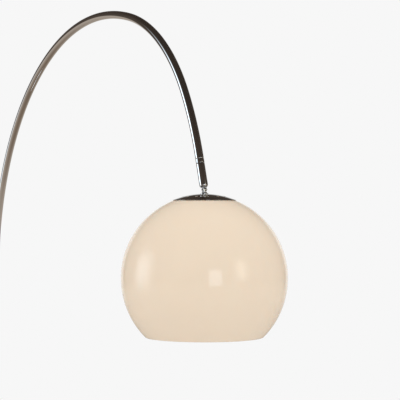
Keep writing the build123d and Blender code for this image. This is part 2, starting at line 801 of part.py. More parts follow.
with BuildPart() as centre_contact:
    with BuildSketch(head_frame.offset(core_bottom)):
        Circle(contact_radius)
    extrude(amount=-contact_thickness)
write(centre_contact, "centre_contact")

with BuildPart() as bulb_screw_cap:
    with BuildSketch(head_frame.offset(screw_cap_bottom)):
        Circle(screw_cap_radius)
    extrude(amount=screw_cap_top - screw_cap_bottom - screw_cap_cone)
    with BuildSketch(head_frame.offset(screw_cap_top - screw_cap_cone)):
        Circle(screw_cap_radius)
    extrude(amount=screw_cap_cone, taper=screw_cap_taper)
    offset(amount=-bulb_wall, openings=bulb_screw_cap.faces().sort_by(Axis.Z)[0])
write(bulb_screw_cap, "bulb_screw_cap")

with BuildPart() as bulb_glass:
    with BuildSketch(head_profile):
        with BuildLine():
            globe_arc = CenterArc((0, bulb_centre), bulb_radius, -90, 90 + bulb_shoulder_angle)
            shoulder = Spline(
                globe_arc @ 1, (bulb_neck_radius, screw_cap_bottom - bulb_neck_length),
                tangents=(globe_arc % 1, (0, 1)),
            )
            neck = Line(shoulder @ 1, (bulb_neck_radius, screw_cap_bottom))
            Line(neck @ 1, (0, screw_cap_bottom))
            Line((0, screw_cap_bottom), globe_arc @ 0)
        make_face()
    revolve(axis=head_axis)
    offset(amount=-bulb_wall, openings=bulb_glass.faces().sort_by(Axis.Z)[-1])
write(bulb_glass, "bulb_glass")

with BuildPart() as head_cable:
    with BuildSketch(head_frame.offset(core_top)):
        Circle(cable_radius)
    extrude(amount=cap_outer - core_top)
write(head_cable, "head_cable")
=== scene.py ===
import json
import math

import bmesh
import bpy
from mathutils import Matrix, Vector


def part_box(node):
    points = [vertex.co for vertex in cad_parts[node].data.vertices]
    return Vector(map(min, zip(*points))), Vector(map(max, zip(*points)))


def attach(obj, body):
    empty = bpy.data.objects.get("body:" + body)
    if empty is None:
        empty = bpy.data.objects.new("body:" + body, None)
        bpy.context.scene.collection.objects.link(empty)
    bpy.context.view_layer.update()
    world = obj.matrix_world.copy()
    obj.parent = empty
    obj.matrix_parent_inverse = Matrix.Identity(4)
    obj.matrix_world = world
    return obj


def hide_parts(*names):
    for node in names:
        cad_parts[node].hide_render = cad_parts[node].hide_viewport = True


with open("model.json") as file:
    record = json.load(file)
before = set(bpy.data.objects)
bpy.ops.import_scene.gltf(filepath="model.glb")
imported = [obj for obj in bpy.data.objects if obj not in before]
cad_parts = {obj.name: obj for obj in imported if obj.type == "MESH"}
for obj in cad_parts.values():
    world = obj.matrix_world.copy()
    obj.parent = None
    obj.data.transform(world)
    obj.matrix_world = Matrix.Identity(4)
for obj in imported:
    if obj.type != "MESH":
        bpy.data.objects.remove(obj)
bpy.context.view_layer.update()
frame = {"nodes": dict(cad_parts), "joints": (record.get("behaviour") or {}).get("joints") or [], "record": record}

MM = 0.001
FULL_TURN = 2 * math.pi

# Places, taken from the record's joints
joints = {joint["name"]: joint for joint in frame["joints"]}
slot_of = {part["node"]: part["material_slot"] for part in frame["record"]["subparts"]}
pivot = Vector(joints["head_tilt"]["pos_m"])
stem_down = Vector(joints["stem_swivel"]["axis"]).normalized()
stem_start = 13.0
arc_end = Vector(joints["stem_swivel"]["pos_m"]) - stem_down * stem_start * MM

# Sizes of the visible pieces, in millimetres like the part's own
tube_radius = 10.0
tube_bore = 8.5
arc_bends = ((700.0, 103.0), (442.0, 46.0), (700.0, 14.0))
leg_bottom, leg_top = [round(corner.z / MM, 2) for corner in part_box("leg_tube")]
column_bottom, column_top = [round(corner.z / MM, 2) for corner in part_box("column_tube")]
collar_bottom, collar_top = [round(corner.z / MM, 2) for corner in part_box("clamp_collar")]
lock_height = round(joints["thumb_turn"]["pos_m"][2] / MM, 2)
felt_radius = 192.0
felt_top = 3.0
base_radius = 200.0
base_top = 73.0
recess_radius = 45.0
recess_top = 38.0
stud_hole = 8.5
stud_radius = 8.0
flange_radius = 55.0
flange_shoulder = 51.0
flange_top = 80.0
spigot_radius = 11.95
spigot_bore = 4.0
spigot_top = 200.0
bearing_radius = 18.0
bearing_top = 81.5
column_radius = 14.0
column_bore = 12.0
column_foot_radius = 18.5
column_foot_top = 105.8
foot_screw_height = 95.8
foot_screw_count = 3
collar_radius = 18.0
collar_bore = 10.3
knob_radius = 13.0
knob_flutes = 20
cap_outer = 191.6
cap_thickness = 0.8
cap_rim_radius = 73.0
globe_radius = 190.0
globe_wall = 3.0
mouth_drop = 134.3
top_opening_radius = 62.0
pivot_height = 9.2
globe_centre = pivot - Vector((0, 0, (pivot_height + cap_outer) * MM))

# Camera
view_azimuth = math.radians(60.0)
view_back = Vector((math.sin(view_azimuth), -math.cos(view_azimuth), 0))
view_right = Vector((math.cos(view_azimuth), math.sin(view_azimuth), 0))
view_distance = 18.65 * globe_radius * MM
view_side_step = 0.010
view_height = math.sqrt(cap_outer ** 2 - cap_rim_radius ** 2) * MM
lens_length = 140.3


# Shader and node maths

class Signal:
    """A node's output that Python's operators work on."""

    def __init__(self, bench, socket):
        self.bench = bench
        self.socket = socket

    def maths(self, operation, *values):
        return self.bench.add("ShaderNodeMath", {"operation": operation}, dict(enumerate(values)))

    def __add__(self, other):
        return self.maths("ADD", self, other)

    def __radd__(self, other):
        return self.maths("ADD", other, self)

    def __sub__(self, other):
        return self.maths("SUBTRACT", self, other)

    def __rsub__(self, other):
        return self.maths("SUBTRACT", other, self)

    def __mul__(self, other):
        return self.maths("MULTIPLY", self, other)

    def __truediv__(self, other):
        return self.maths("DIVIDE", self, other)

    def __abs__(self):
        return self.maths("ABSOLUTE", self)

    def rising(self, low, high):
        """0 below low, 1 above high, and smooth between."""
        return self.bench.add(
            "ShaderNodeMapRange",
            {"interpolation_type": "SMOOTHSTEP"},
            {"Value": self, "From Min": low, "From Max": high},
        )

    def between(self, low, high, soft):
        """1 between low and high, and 0 outside them."""
        return self.rising(low - soft, low + soft) * (1 - self.rising(high - soft, high + soft))


class Bench:
    """One node tree, and the method that adds any node to it."""

    def __init__(self, tree):
        self.tree = tree

    def add(self, kind, settings=None, sockets=None, output=0):
        node = self.tree.nodes.new(kind)
        for key, value in (settings or {}).items():
            setattr(node, key, value)
        for key, value in (sockets or {}).items():
            if isinstance(value, Signal):
                self.tree.links.new(value.socket, node.inputs[key])
            else:
                node.inputs[key].default_value = value
        return Signal(self, node.outputs[output]) if node.outputs else None

    def blend(self, factor, first, second):
        """Colour that goes from first to second as factor goes from 0 to 1."""
        colours = [c if isinstance(c, Signal) else (*c, 1.0) for c in (first, second)]
        sockets = {0: factor, 6: colours[0], 7: colours[1]}
        return self.add("ShaderNodeMix", {"data_type": "RGBA"}, sockets, 2)

    def place(self, stretch=(1, 1, 1)):
        """Object coordinates, stretched by that much along X, Y and Z."""
        here = self.add("ShaderNodeTexCoord", output=3)
        return self.add("ShaderNodeMapping", sockets={"Vector": here, "Scale": stretch})

    def noise(self, where, scale, detail=4.0, distortion=0.0, output=0):
        sockets = {"Vector": where, "Scale": scale, "Detail": detail, "Distortion": distortion}
        return self.add("ShaderNodeTexNoise", sockets=sockets, output=output)

    def bump(self, height, distance, strength=1.0):
        sockets = {"Height": height, "Distance": distance, "Strength": strength}
        return self.add("ShaderNodeBump", sockets=sockets)


def new_material(name):
    """An empty material and the bench for its nodes."""
    material = bpy.data.materials.new(name)
    material.use_nodes = True
    material.node_tree.nodes.clear()
    return material, Bench(material.node_tree)


def finish_surface(bench, sockets):
    """Ends a material in one Principled shader."""
    shader = bench.add("ShaderNodeBsdfPrincipled", sockets=sockets)
    bench.add("ShaderNodeOutputMaterial", sockets={"Surface": shader})


# Finishes

def polished_chrome():
    material, bench = new_material("polished_chrome")
    where = bench.place()
    haze = bench.noise(where, 14.0, 6.0, 0.8)
    wipe = bench.noise(bench.place((60, 60, 7)), 9.0, 5.0)
    peel = bench.noise(where, 420.0, 2.0)
    finish_surface(bench, {
        "Base Color": bench.blend(haze.rising(0.35, 0.75), (0.86, 0.86, 0.87), (0.79, 0.795, 0.81)),
        "Metallic": 1.0,
        "Roughness": 0.025 + haze.rising(0.45, 0.8) * 0.03 + wipe.rising(0.55, 0.8) * 0.025,
        "Normal": bench.bump(peel, 0.00002, 0.12),
    })
    return material


def opal_acrylic():
    material, bench = new_material("opal_acrylic")
    where = bench.place()
    cloud = bench.noise(where, 5.0, 3.0, 0.4)
    dust = bench.noise(where, 900.0, 2.0)
    flow = bench.noise(where, 16.0, 1.0)
    cream = bench.blend(cloud.rising(0.3, 0.7), (0.905, 0.735, 0.580), (0.925, 0.752, 0.592))
    finish_surface(bench, {
        "Base Color": bench.blend(dust.rising(0.72, 0.85) * 0.25, cream, (0.95, 0.86, 0.75)),
        "Roughness": 0.018 + dust.rising(0.6, 0.9) * 0.05,
        "IOR": 1.49,
        "Subsurface Weight": 0.3,
        "Subsurface Radius": (0.008, 0.006, 0.005),
        "Subsurface Scale": 1.0,
        "Normal": bench.bump(flow, 0.00005, 0.3),
    })
    return material


def veined_marble():
    material, bench = new_material("veined_marble")
    where = bench.place()
    drift = bench.noise(where, 4.0, 6.0, output=1)
    shift = (0.35, 0.35, 0.35)
    moved = bench.add("ShaderNodeVectorMath", {"operation": "MULTIPLY_ADD"}, {0: drift, 1: shift, 2: where})
    broad = 1 - abs(bench.noise(moved, 5.0, 8.0) - 0.5).rising(0.0, 0.045)
    hair = 1 - abs(bench.noise(moved, 17.0, 10.0, 0.6) - 0.5).rising(0.0, 0.02)
    cloud = bench.noise(moved, 3.0, 5.0)
    grain = bench.noise(where, 700.0, 2.0)
    ground = bench.blend(cloud.rising(0.35, 0.7), (0.82, 0.81, 0.79), (0.70, 0.70, 0.695))
    veined = bench.blend(broad * 0.62, ground, (0.26, 0.265, 0.28))
    fine = bench.blend(hair * 0.35, veined, (0.38, 0.375, 0.37))
    finish_surface(bench, {
        "Base Color": bench.blend(grain.rising(0.55, 0.8) * 0.12, fine, (0.93, 0.92, 0.90)),
        "Roughness": 0.10 + broad * 0.07 + grain * 0.04,
        "Normal": bench.bump(broad * -1 + grain * 0.15, 0.00004, 0.5),
    })
    return material


def pressed_felt():
    material, bench = new_material("pressed_felt")
    where = bench.place()
    fibre = bench.noise(where, 1400.0, 6.0, 2.5)
    tuft = bench.noise(where, 240.0, 3.0, 1.0)
    finish_surface(bench, {
        "Base Color": bench.blend(fibre.rising(0.35, 0.7), (0.035, 0.040, 0.036), (0.10, 0.11, 0.10)),
        "Roughness": 0.88 + tuft * 0.10,
        "Sheen Weight": 0.25,
        "Normal": bench.bump(fibre + tuft, 0.0006, 0.8),
    })
    return material


def worked_surface(
    name, light, dark, roughness, metallic=0.0, scale=300.0, stretch=(1, 1, 1), relief=0.00004, spread=0.10,
):
    """A finish with a grain: plated, turned, moulded or drawn, by the grain's scale and stretch."""
    material, bench = new_material(name)
    where = bench.place(stretch)
    grain = bench.noise(where, scale, 5.0, 0.3)
    patch = bench.noise(bench.place(), scale / 12.0, 3.0)
    tone = bench.blend(grain.rising(0.3, 0.7), light, dark)
    finish_surface(bench, {
        "Base Color": bench.blend(patch.rising(0.45, 0.8) * 0.35, tone, dark),
        "Metallic": metallic,
        "Roughness": roughness + grain.rising(0.25, 0.8) * spread + patch * 0.05,
        "Normal": bench.bump(grain, relief, 0.6),
    })
    return material


def make_finishes():
    """Every slot's material."""
    return {
        "chrome": polished_chrome(),
        "acrylic": opal_acrylic(),
        "marble": veined_marble(),
        "felt": pressed_felt(),
        "zinc_steel": worked_surface(
            "zinc_plated_steel", (0.60, 0.61, 0.62), (0.47, 0.48, 0.50), 0.24, 1.0, 260.0, (1, 1, 6)),
        "black_steel": worked_surface(
            "black_oxide_steel", (0.055, 0.055, 0.060), (0.028, 0.028, 0.032), 0.30, 1.0, 500.0),
        "brass": worked_surface(
            "turned_brass", (0.75, 0.57, 0.28), (0.62, 0.45, 0.20), 0.20, 1.0, 400.0, (8, 1, 1)),
        "nylon": worked_surface(
            "black_nylon", (0.040, 0.040, 0.042), (0.022, 0.022, 0.024), 0.48, 0.0, 600.0),
        "rubber": worked_surface(
            "moulded_rubber", (0.030, 0.030, 0.030), (0.016, 0.016, 0.017), 0.62, 0.0, 900.0,
            relief=0.00008),
        "cable": worked_surface(
            "cable_jacket", (0.040, 0.040, 0.041), (0.024, 0.024, 0.025), 0.50, 0.0, 700.0, (3, 3, 1)),
        "gasket": worked_surface(
            "white_gasket", (0.78, 0.77, 0.73), (0.69, 0.68, 0.64), 0.55, 0.0, 500.0),
        "phenolic": worked_surface(
            "black_phenolic", (0.030, 0.024, 0.020), (0.014, 0.012, 0.011), 0.16, 0.0, 180.0),
        "ceramic": worked_surface(
            "glazed_steatite", (0.84, 0.83, 0.80), (0.76, 0.75, 0.71), 0.18, 0.0, 350.0),
        "nickel": worked_surface(
            "rolled_nickel", (0.70, 0.67, 0.62), (0.58, 0.55, 0.50), 0.22, 1.0, 420.0, (1, 1, 5)),
        "opal_glass": worked_surface(
            "opal_glass", (0.92, 0.91, 0.88), (0.87, 0.86, 0.82), 0.08, 0.0, 60.0,
            relief=0.00002, spread=0.03),
    }


finishes = make_finishes()


# Mesh tools. Outlines are in millimetres: (distance from the axis, height along it).

def rounded(corners, steps=5):
    """A closed outline whose corners, (radius, height, rounding), become arcs."""
    outline = []
    for index, corner in enumerate(corners):
        here = Vector(corner[:2])
        rounding = corner[2] if len(corner) > 2 else 0
        if not rounding:
            outline.append(tuple(here))
            continue
        back = (Vector(corners[index - 1][:2]) - here).normalized()
        ahead = (Vector(corners[(index + 1) % len(corners)][:2]) - here).normalized()
        opening = back.angle(ahead)
        centre = here + (back + ahead).normalized() * rounding / math.sin(opening / 2)
        start = here + back * rounding / math.tan(opening / 2) - centre
        end = here + ahead * rounding / math.tan(opening / 2) - centre
        sweep = math.atan2(start.cross(end), start.dot(end))
        for step in range(steps + 1):
            spoke = Matrix.Rotation(sweep * step / steps, 2) @ start
            outline.append(tuple(centre + spoke))
    return outline


def arc(radius, start, end, steps, height=0.0):
    """Points of an arc about a centre on the axis, with angles in degrees up from the horizontal."""
    angles = [math.radians(start + (end - start) * step / steps) for step in range(steps + 1)]
    return [(radius * math.cos(a), height + radius * math.sin(a)) for a in angles]


def mesh_object(name, bm):
    """A finished object from a bmesh in millimetres, with its normals put right."""
    bmesh.ops.remove_doubles(bm, verts=bm.verts, dist=1e-4)
    bmesh.ops.recalc_face_normals(bm, faces=bm.faces)
    bmesh.ops.scale(bm, vec=(MM, MM, MM), verts=bm.verts)
    mesh = bpy.data.meshes.new(name)
    bm.to_mesh(mesh)
    bm.free()
    piece = bpy.data.objects.new(name, mesh)
    bpy.context.scene.collection.objects.link(piece)
    return piece


def ring(bm, radius, height, angles, hexagonal):
    """Vertices of one ring, or one vertex on the axis. A radius in hexagonal is half a width across flats."""
    if radius < 1e-6:
        return [bm.verts.new((0, 0, height))] * len(angles)
    sixth = math.pi / 3
    vertices = []
    for angle in angles:
        flat = math.cos((angle + sixth / 2) % sixth - sixth / 2) if radius in hexagonal else 1
        reach = radius / flat
        vertices.append(bm.verts.new((reach * math.cos(angle), reach * math.sin(angle), height)))
    return vertices


def skin(bm, first, second, closed):
    """Faces between two rings of vertices."""
    count = len(first)
    for index in range(count if closed else count - 1):
        after = (index + 1) % count
        corners = []
        for vertex in (first[index], first[after], second[after], second[index]):
            if vertex not in corners:
                corners.append(vertex)
        if len(corners) > 2:
            bm.faces.new(corners)


def spin(name, outline, sides=96, hexagonal=()):
    """A closed outline turned once round the Z axis."""
    bm = bmesh.new()
    angles = [FULL_TURN * side / sides for side in range(sides)]
    rings = [ring(bm, radius, height, angles, hexagonal) for radius, height in outline]
    for index in range(len(rings)):
        skin(bm, rings[index - 1], rings[index], True)
    return mesh_object(name, bm)


def block(name, low, high):
    """A box between two corners, for cutting."""
    bm = bmesh.new()
    bmesh.ops.create_cube(bm, size=1.0)
    middle = (Vector(low) + Vector(high)) / 2
    bmesh.ops.scale(bm, vec=Vector(high) - Vector(low), verts=bm.verts)
    bmesh.ops.translate(bm, vec=middle, verts=bm.verts)
    return mesh_object(name, bm)


def settle(piece):
    """Makes a piece's modifiers part of its mesh, and removes them."""
    bpy.context.view_layer.update()
    evaluated = piece.evaluated_get(bpy.context.evaluated_depsgraph_get())
    mesh = bpy.data.meshes.new_from_object(evaluated)
    piece.modifiers.clear()
    piece.data = mesh
    return piece


def combine(piece, tool, operation="DIFFERENCE"):
    """Cuts the tool away from the piece, or joins the two."""
    change = piece.modifiers.new("combine", "BOOLEAN")
    change.solver = "EXACT"
    change.operation = operation
    change.object = tool
    settle(piece)
    bpy.data.objects.remove(tool)
    return piece


def soften(piece, width, segments=2, limit=40.0):
    """Rounds a piece's sharp edges."""
    bevel = piece.modifiers.new("soften", "BEVEL")
    bevel.width = width * MM
    bevel.segments = segments
    bevel.limit_method = "ANGLE"
    bevel.angle_limit = math.radians(limit)
    return settle(piece)


def ring_tree():
    """Node tree that repeats a piece round the Z axis and joins the copies."""
    tree = bpy.data.node_groups.new("repeat_round_axis", "GeometryNodeTree")
    for label, kind in (
        ("Piece", "NodeSocketGeometry"), ("Copies", "NodeSocketInt"), ("Join Distance", "NodeSocketFloat"),
        ("Finish", "NodeSocketMaterial"),
    ):
        tree.interface.new_socket(label, in_out="INPUT", socket_type=kind)
    tree.interface.new_socket("Ring", in_out="OUTPUT", socket_type="NodeSocketGeometry")
    bench = Bench(tree)
    given = tree.nodes.new("NodeGroupInput")
    piece, copies, distance, finish = [Signal(bench, given.outputs[i]) for i in range(4)]
    points = bench.add("GeometryNodeMeshLine", sockets={"Count": copies, "Offset": (0, 0, 0)})
    turn = bench.add("GeometryNodeInputIndex") * FULL_TURN / copies
    rotation = bench.add("ShaderNodeCombineXYZ", sockets={"Z": turn})
    copied = bench.add(
        "GeometryNodeInstanceOnPoints", sockets={"Points": points, "Instance": piece, "Rotation": rotation})
    real = bench.add("GeometryNodeRealizeInstances", sockets={"Geometry": copied})
    joined = bench.add("GeometryNodeMergeByDistance", sockets={"Geometry": real, "Distance": distance})
    painted = bench.add("GeometryNodeSetMaterial", sockets={"Geometry": joined, "Material": finish})
    bench.add("NodeGroupOutput", sockets={"Ring": painted})
    return tree


repeat_tree = ring_tree()


def repeat(piece, copies, finish):
    """Repeats a piece round the Z axis, as one closed mesh."""
    values = {"Copies": copies, "Join Distance": 1e-5, "Finish": finish}
    modifier = piece.modifiers.new("repeat", "NODES")
    modifier.node_group = repeat_tree
    for item in repeat_tree.interface.items_tree:
        if item.name in values:
            modifier[item.identifier] = values[item.name]
    settle(piece)
    bm = bmesh.new()
    bm.from_mesh(piece.data)
    bmesh.ops.recalc_face_normals(bm, faces=bm.faces)
    bm.to_mesh(piece.data)
    bm.free()
    return piece


def wedge(name, outline, copies, steps, depth, width, reach):
    """One of a ring of equal wedges, with a flute of that depth along its middle, on points past reach."""
    bm = bmesh.new()
    span = FULL_TURN / copies
    lines = []
    for radius, height in outline:
        line = []
        for step in range(steps + 1):
            angle = span * (step / steps - 0.5)
            dip = depth * math.exp(-(angle / (span * width)) ** 2) if radius > reach else 0
            reached = radius - dip
            line.append(Vector((reached * math.cos(angle), reached * math.sin(angle), height)))
        lines.append(line)
    rows = []
    for line in lines:
        if line[0].xy.length < 1e-6:
            rows.append([bm.verts.new(line[0])] * len(line))
        else:
            rows.append([bm.verts.new(point) for point in line])
    for index in range(len(rows)):
        skin(bm, rows[index - 1], rows[index], False)
    return mesh_object(name, bm)


def stand(piece, origin, axis=Vector((0, 0, 1))):
    """Puts a piece made round the Z axis where it belongs."""
    turn = Vector((0, 0, 1)).rotation_difference(axis).to_matrix().to_4x4()
    piece.data.transform(Matrix.Translation(origin) @ turn)
    return piece


def fit(piece, body, *nodes, sharp=32.0):
    """Gives a piece the finish of its first CAD node's slot, puts it on its body and hides the CAD nodes that it
    stands for.
    """
    slot = slot_of[nodes[0]]
    piece.data.materials.clear()
    piece.data.materials.append(finishes[slot])
    piece.data.shade_smooth()
    piece.data.set_sharp_from_angle(angle=math.radians(sharp))
    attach(piece, body)
    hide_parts(*nodes)


NEAR = Vector((0, -1, 0))
FAR = Vector((0, 1, 0))
REAR = Vector((-1, 0, 0))


def screw_outline(radius, length, socket, depth, chamfer=0.3):
    """A set screw from its tip at 0 to its face at length, with a hexagonal socket."""
    return [
        (0, 0), (radius - chamfer, 0), (radius, chamfer),
        (radius, length - chamfer), (radius - chamfer, length),
        (socket + 0.1, length), (socket, length - 0.1), (socket, length - depth), (0, length - depth - 0.3),
    ]


def nut_outline(bore, flats, low, high, chamfer=0.6):
    """A chamfered hexagon nut, with half its width across flats."""
    return [
        (bore, low), (flats - 0.15, low), (flats, low + chamfer), (flats, high - chamfer),
        (flats - 0.15, high), (bore + 0.3, high), (bore, high - 0.3),
    ]


def threaded(radius, low, high, pitch, depth):
    """Outer side of a threaded rod, as one groove to each pitch."""
    root = radius - depth
    points = []
    for turn in range(int((high - low) / pitch)):
        start = low + turn * pitch
        for reach, part in ((radius, 0.15), (root, 0.5), (radius, 0.85)):
            points.append((reach, start + part * pitch))
    return [(0, low), (root, low)] + points + [(root, high), (0, high)]


# Base

def make_base():
    felt = spin("felt_disc", rounded([
        (0, 0), (felt_radius, 0, 0.8), (felt_radius, felt_top, 0.5), (0, felt_top),
    ]), 160)
    fit(felt, "base", "felt_pad")

    slab = spin("marble_slab", rounded([
        (stud_hole, recess_top), (recess_radius, recess_top), (recess_radius, felt_top),
        (base_radius, felt_top, 1.5), (base_radius, base_top, 8), (stud_hole, base_top),
    ], 10), 256)
    groove = block("cable_groove", (-base_radius - 10, -4, 0), (-recess_radius + 5, 4, 12))
    fit(combine(slab, groove), "base", "marble_base")

    flange = spin("foot_plate", rounded([
        (stud_radius, base_top), (flange_radius, base_top, 0.4), (flange_radius, base_top + 2.5, 1.2),
        (flange_shoulder, flange_top, 1.0), (spigot_radius, flange_top), (spigot_radius, spigot_top, 0.8),
        (spigot_bore, spigot_top), (spigot_bore, 120), (stud_radius, 120),
    ]), 128)
    fit(flange, "base", "foot_flange")

    washer = spin("turning_washer", rounded([
        (column_bore, flange_top), (bearing_radius, flange_top, 0.3),
        (bearing_radius, bearing_top, 0.3), (column_bore, bearing_top),
    ]), 96)
    fit(washer, "base", "bearing_washer")


# Column

def make_column():
    tube = spin("upright_tube", rounded([
        (column_bore, column_bottom), (column_radius, column_bottom, 0.3),
        (column_radius, column_top, 0.4), (column_bore, column_top, 0.4),
    ]), 96)
    fit(tube, "column", "column_tube")

    foot = spin("upright_foot", rounded([
        (column_radius, column_bottom), (column_foot_radius, column_bottom, 0.4),
        (column_foot_radius, column_foot_top, 2.0), (column_radius, column_foot_top),
    ]), 120)
    screw_place = Vector((0, 0, foot_screw_height * MM))
    sideways = Matrix.Rotation(math.radians(90), 4, "Y")
    drill = spin("drill", [(0, 13), (2.6, 13), (2.6, 22), (0, 22)], 24)
    drill.data.transform(sideways)
    stand(repeat(drill, foot_screw_count, finishes["chrome"]), screw_place)
    fit(combine(foot, drill), "column", "column_foot")

    screw = spin("foot_set_screws", screw_outline(2.5, 6.8, 1.25, 2.5), 24, (1.25,))
    screw.data.transform(sideways @ Matrix.Translation((0, 0, 10.7 * MM)))
    stand(repeat(screw, foot_screw_count, finishes["black_steel"]), screw_place)
    fit(screw, "column", "retaining_screws")

    collar = spin("height_collar", rounded([
        (column_radius, collar_bottom), (collar_radius, collar_bottom, 1.0), (collar_radius, collar_top, 2.5),
        (collar_bore, collar_top, 0.6), (collar_bore, column_top), (column_radius, column_top),
    ], 7), 120)
    drill = spin("drill", [(0, 12), (4, 12), (4, 17), (6.5, 17), (6.5, 22), (0, 22)], 48)
    stand(drill, Vector((0, 0, lock_height * MM)), REAR)
    fit(combine(collar, drill), "column", "clamp_collar")


# Height lock

def make_lock():
    lock_place = Vector((0, 0, lock_height * MM))
    screw = spin("lock_screw", threaded(3.92, 13.4, 22.0, 1.25, 0.55), 48)
    fit(stand(screw, lock_place, REAR), "thumb_screw", "thumb_screw")

    outline = rounded([
        (0, 22), (7.8, 22, 0.5), (7.8, 24), (knob_radius, 24, 1.4), (knob_radius, 38, 1.6),
        (9.75, 38, 0.5), (9.1, 39.2, 0.4), (0, 39.2),
    ])
    knob = wedge("lock_knob", outline, knob_flutes, 10, 0.9, 0.22, 9.9)
    repeat(knob, knob_flutes, finishes["chrome"])
    fit(stand(knob, lock_place, REAR), "thumb_screw", "thumb_knob")


# Arc

def arc_path():
    """Points and directions along the bowed tube's centre line, in millimetres."""
    place = Vector((0, 0, leg_top))
    heading = 90.0
    path = [(place.copy(), heading)]
    for radius, turn in arc_bends:
        steps = round(radius * math.radians(turn) / 7.0)
        towards_centre = math.radians(heading - 90)
        centre = place + radius * Vector((math.cos(towards_centre), 0, math.sin(towards_centre)))
        for step in range(1, steps + 1):
            now = heading - turn * step / steps
            spoke = Vector((-math.sin(math.radians(now)), 0, math.cos(math.radians(now))))
            path.append((centre + radius * spoke, now))
        heading -= turn
        place = path[-1][0]
    return path


def bowed_tube(name, path, outer, inner, edge, sides=64):
    """A pipe along a path in the XZ plane, with both ends closed by a rounded ring."""
    bm = bmesh.new()

    def section(point, heading, radius):
        across = Vector((-math.sin(math.radians(heading)), 0, math.cos(math.radians(heading))))
        return [
            bm.verts.new(point + radius * (across * math.cos(a) + FAR * math.sin(a)))
            for a in (FULL_TURN * side / sides for side in range(sides))
        ]

    def shifted(end, distance):
        point, heading = path[end]
        ahead = Vector((math.cos(math.radians(heading)), 0, math.sin(math.radians(heading))))
        return point + ahead * distance, heading

    rings = [section(*shifted(0, 0), outer - edge), section(*shifted(0, edge), outer)]
    rings += [section(point, heading, outer) for point, heading in path[1:-1]]
    rings += [section(*shifted(-1, -edge), outer), section(*shifted(-1, 0), outer - edge)]
    rings += [section(point, heading, inner) for point, heading in reversed(path)]
    for index in range(len(rings)):
        skin(bm, rings[index - 1], rings[index], True)
    return mesh_object(name, bm)


def make_arc():
    leg = spin("leg_pipe", rounded([
        (tube_bore, leg_bottom), (tube_radius, leg_bottom, 0.3),
        (tube_radius, leg_top, 0.3), (tube_bore, leg_top),
    ], 3), 96)
    fit(leg, "arc", "leg_tube")

    fit(bowed_tube("bowed_pipe", arc_path(), tube_radius, tube_bore, 0.25), "arc", "arc_tube")

    screws = []
    for drop in (12.0, 42.0):
        screw = spin("leg_joint_screws", screw_outline(2.0, 1.8, 1.0, 1.2, 0.25), 24, (1.0,))
        stand(screw, Vector((-tube_bore, 0, leg_top - drop)) * MM, REAR)
        screws.append(screw)
    fit(combine(*screws, "UNION"), "arc", "joint_screws")

    plug = spin("end_stop", rounded([
        (5, -12), (8.35, -12), (8.35, 0), (tube_bore, 0), (tube_bore, 1.5, 0.15), (5, 1.5),
    ], 2), 72)
    fit(stand(plug, arc_end, stem_down), "arc", "end_plug")

    band = spin("swivel_ring", rounded([
        (5, 1.5), (tube_radius, 1.5, 0.6), (tube_radius, 11.4, 0.6), (5, 11.4),
    ]), 96)
    fit(stand(band, arc_end, stem_down), "arc", "swivel_band")

    washer = spin("swivel_slip_ring", rounded([
        (5, 11.4), (tube_bore, 11.4, 0.2), (tube_bore, 12.7, 0.2), (5, 12.7),
    ], 2), 72)
    fit(stand(washer, arc_end, stem_down), "arc", "swivel_washer")


# Stem and knuckle

knuckle_radius = 4.5
knuckle_gap = 0.4
knuckle_face = 3.75
stem_end = 69.0


def tongue(name, towards, length, low, high):
    """Half of the knuckle: a plate rounded about the pivot, from low to high along Y."""
    side = towards.cross(FAR)
    bm = bmesh.new()
    outline = []
    for step in range(25):
        angle = math.radians(-90 + 180 * step / 24)
        outline.append(-towards * knuckle_radius * math.cos(angle) + side * knuckle_radius * math.sin(angle))
    outline += [towards * length + side * knuckle_radius, towards * length - side * knuckle_radius]
    faces = [[bm.verts.new(point + FAR * level) for point in outline] for level in (low, high)]
    skin(bm, faces[0], faces[1], True)
    bm.faces.new(faces[0])
    bm.faces.new(faces[1])
    piece = mesh_object(name, bm)
    piece.data.transform(Matrix.Translation(pivot))
    return piece


def make_stem():
    sleeve = spin("stem_tube", rounded([
        (tube_bore, stem_start), (tube_radius, stem_start, 0.6), (tube_radius, stem_end, 5.5),
        (4.6, stem_end, 0.3), (4.6, 61), (tube_bore, 61),
    ], 10), 96)
    fit(stand(sleeve, arc_end, stem_down), "stem", "stem_sleeve")

    upper = tongue("knuckle_hook", -stem_down, 6.4, knuckle_gap, knuckle_face)
    soften(upper, 0.3)
    shank = spin("shank", rounded([
        (3, 57), (8.45, 57), (8.45, 61), (4.55, 61), (4.55, stem_end, 0.3), (0, stem_end), (0, 67), (3, 67),
    ]), 72)
    stand(shank, arc_end, stem_down)
    fit(combine(upper, shank, "UNION"), "stem", "knuckle_upper")


